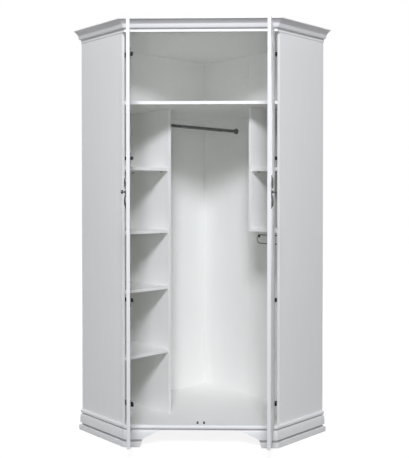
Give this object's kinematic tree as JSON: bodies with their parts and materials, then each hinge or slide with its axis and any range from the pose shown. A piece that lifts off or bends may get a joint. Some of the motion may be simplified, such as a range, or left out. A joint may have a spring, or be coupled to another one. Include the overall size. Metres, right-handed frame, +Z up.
{
  "type": "corner wardrobe",
  "caption": "Tall white five-sided corner wardrobe with hinged doors, an inner shelf column, a hanging space with a rod, a crown moulding and an arched base.",
  "frame": {"origin": "on the floor, under the middle of the bounding box with both doors open as at rest", "axes": "+Z up, front faces -Y, the room corner behind the wardrobe is at +Y, +X to the right seen from the front"},
  "size_m": [1.342, 1.261, 2.1],
  "materials": {
    "painted_board": "white satin paint",
    "hinge_steel": "blackened",
    "handle_pewter": "aged dark pewter",
    "fitting_steel": "dark satin",
    "catch_plastic": "dark matt"
  },
  "bodies": {
    "carcass": {"left_side_panel": "painted_board", "right_side_panel": "painted_board", "left_back_board": "painted_board", "left_corner_back_board": "painted_board", "right_back_board": "painted_board", "right_corner_back_board": "painted_board", "top_board": "painted_board", "bottom_board": "painted_board", "fixed_shelf": "painted_board", "left_divider": "painted_board", "left_shelf_1": "painted_board", "left_shelf_2": "painted_board", "left_shelf_3": "painted_board", "left_shelf_4": "painted_board", "right_divider": "painted_board", "right_column_bottom": "painted_board", "right_shelf": "painted_board", "crown_front": "painted_board", "crown_left": "painted_board", "crown_right": "painted_board", "base_front": "painted_board", "base_left": "painted_board", "base_right": "painted_board", "hanging_rod": "fitting_steel", "rod_socket_left": "fitting_steel", "rod_socket_right": "fitting_steel", "tie_loop_bracket": "fitting_steel", "left_door_catch": "catch_plastic", "right_door_catch": "catch_plastic", "left_hinge_arm_1": "hinge_steel", "left_hinge_arm_2": "hinge_steel", "left_hinge_arm_3": "hinge_steel", "left_hinge_arm_4": "hinge_steel", "right_hinge_arm_1": "hinge_steel", "right_hinge_arm_2": "hinge_steel", "right_hinge_arm_3": "hinge_steel", "right_hinge_arm_4": "hinge_steel"},
    "left_door": {"left_door_hinge_stile": "painted_board", "left_door_lock_stile": "painted_board", "left_door_bottom_rail": "painted_board", "left_door_top_rail": "painted_board", "left_door_panel": "painted_board", "left_hinge_cup_1": "hinge_steel", "left_hinge_cup_2": "hinge_steel", "left_hinge_cup_3": "hinge_steel", "left_hinge_cup_4": "hinge_steel", "left_backplate": "handle_pewter", "left_knob": "handle_pewter"},
    "right_door": {"right_door_hinge_stile": "painted_board", "right_door_lock_stile": "painted_board", "right_door_bottom_rail": "painted_board", "right_door_top_rail": "painted_board", "right_door_panel": "painted_board", "right_hinge_cup_1": "hinge_steel", "right_hinge_cup_2": "hinge_steel", "right_hinge_cup_3": "hinge_steel", "right_hinge_cup_4": "hinge_steel", "right_backplate": "handle_pewter", "right_knob": "handle_pewter"},
    "tie_loop": {"tie_loop": "fitting_steel"}
  },
  "joints": [
    {"name": "left_door_hinge", "type": "hinge", "parent": "carcass", "child": "left_door", "pos_m": [-0.3629, -0.27171, 1.0715], "axis": [0, 0, -1], "range_deg": [-83.2, 20.8]},
    {"name": "right_door_hinge", "type": "hinge", "parent": "carcass", "child": "right_door", "pos_m": [0.3629, -0.27171, 1.0715], "axis": [0, 0, 1], "range_deg": [-83.2, 20.8]},
    {"name": "tie_loop_pivot", "type": "hinge", "parent": "carcass", "child": "tie_loop", "pos_m": [0.39244, -0.21447, 1.018], "axis": [0, 0, -1], "range_deg": [-40, 80]}
  ]
}
